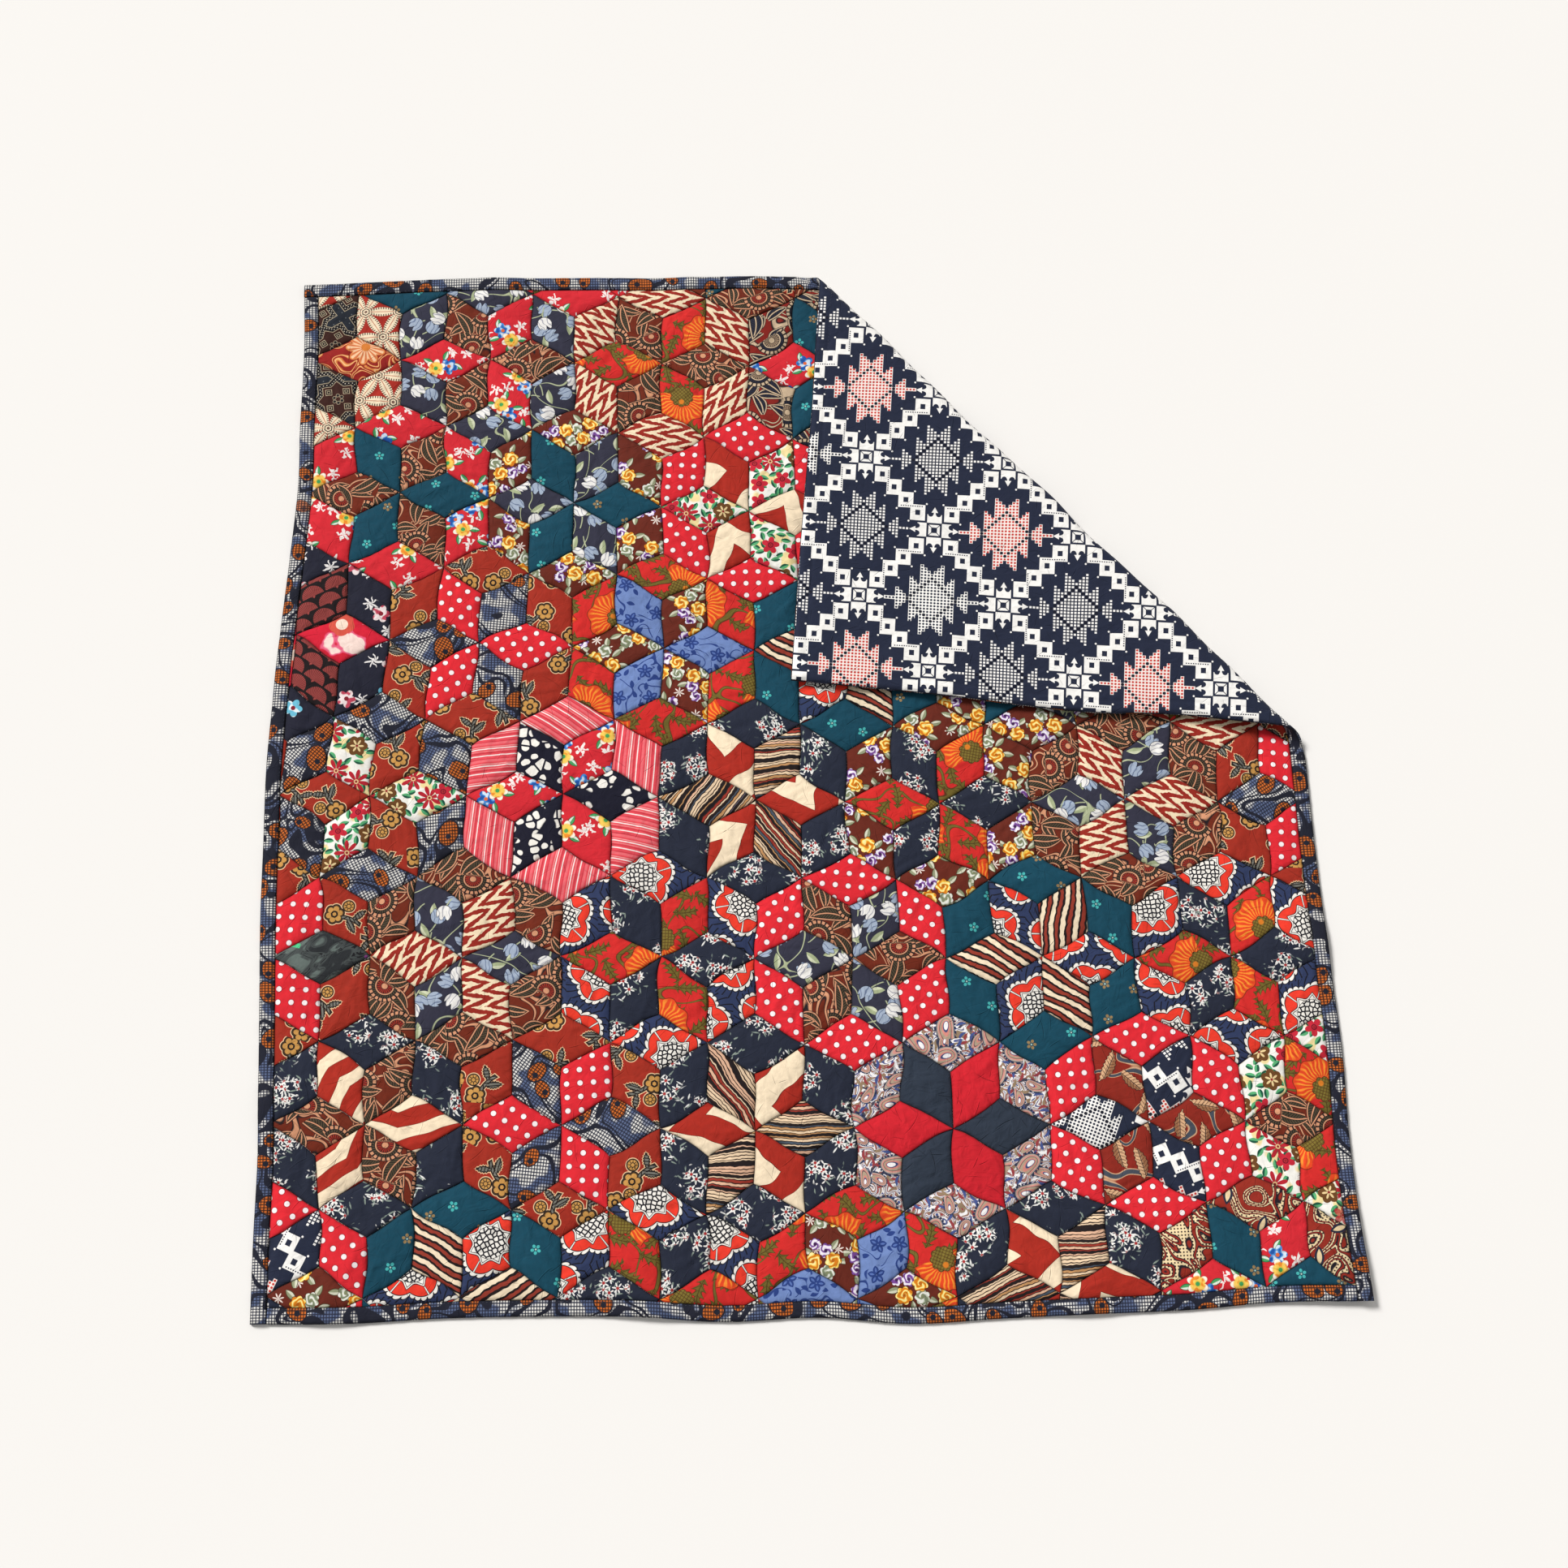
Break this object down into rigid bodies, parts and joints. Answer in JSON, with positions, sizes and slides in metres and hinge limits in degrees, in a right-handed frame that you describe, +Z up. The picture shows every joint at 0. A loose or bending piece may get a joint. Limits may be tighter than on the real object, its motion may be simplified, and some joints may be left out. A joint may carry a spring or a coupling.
{
  "type": "patchwork quilted mat",
  "caption": "Thin quilted mat of printed cotton diamonds pieced into stars, with a navy star-print back and a narrow bound edge; it lies flat with one corner folded over.",
  "frame": {"origin": "on the floor, under the middle of the mat's box as it lies with its corner folded", "axes": "+Z up from the floor, +X along the bottom edge to the right, +Y from the bottom edge to the top edge"},
  "size_m": [1.0065, 1.0428, 0.02],
  "materials": {
    "pieced_top": "printed cotton patchwork, matt, hand quilted",
    "backing": "printed cotton, matt, navy and white",
    "binding": "printed cotton strip, matt, navy and white grid"
  },
  "bodies": {
    "root": {"backing": "backing", "pieced_top": "pieced_top", "binding_top": "binding", "binding_right": "binding", "binding_bottom": "binding", "binding_left": "binding"}
  },
  "joints": []
}
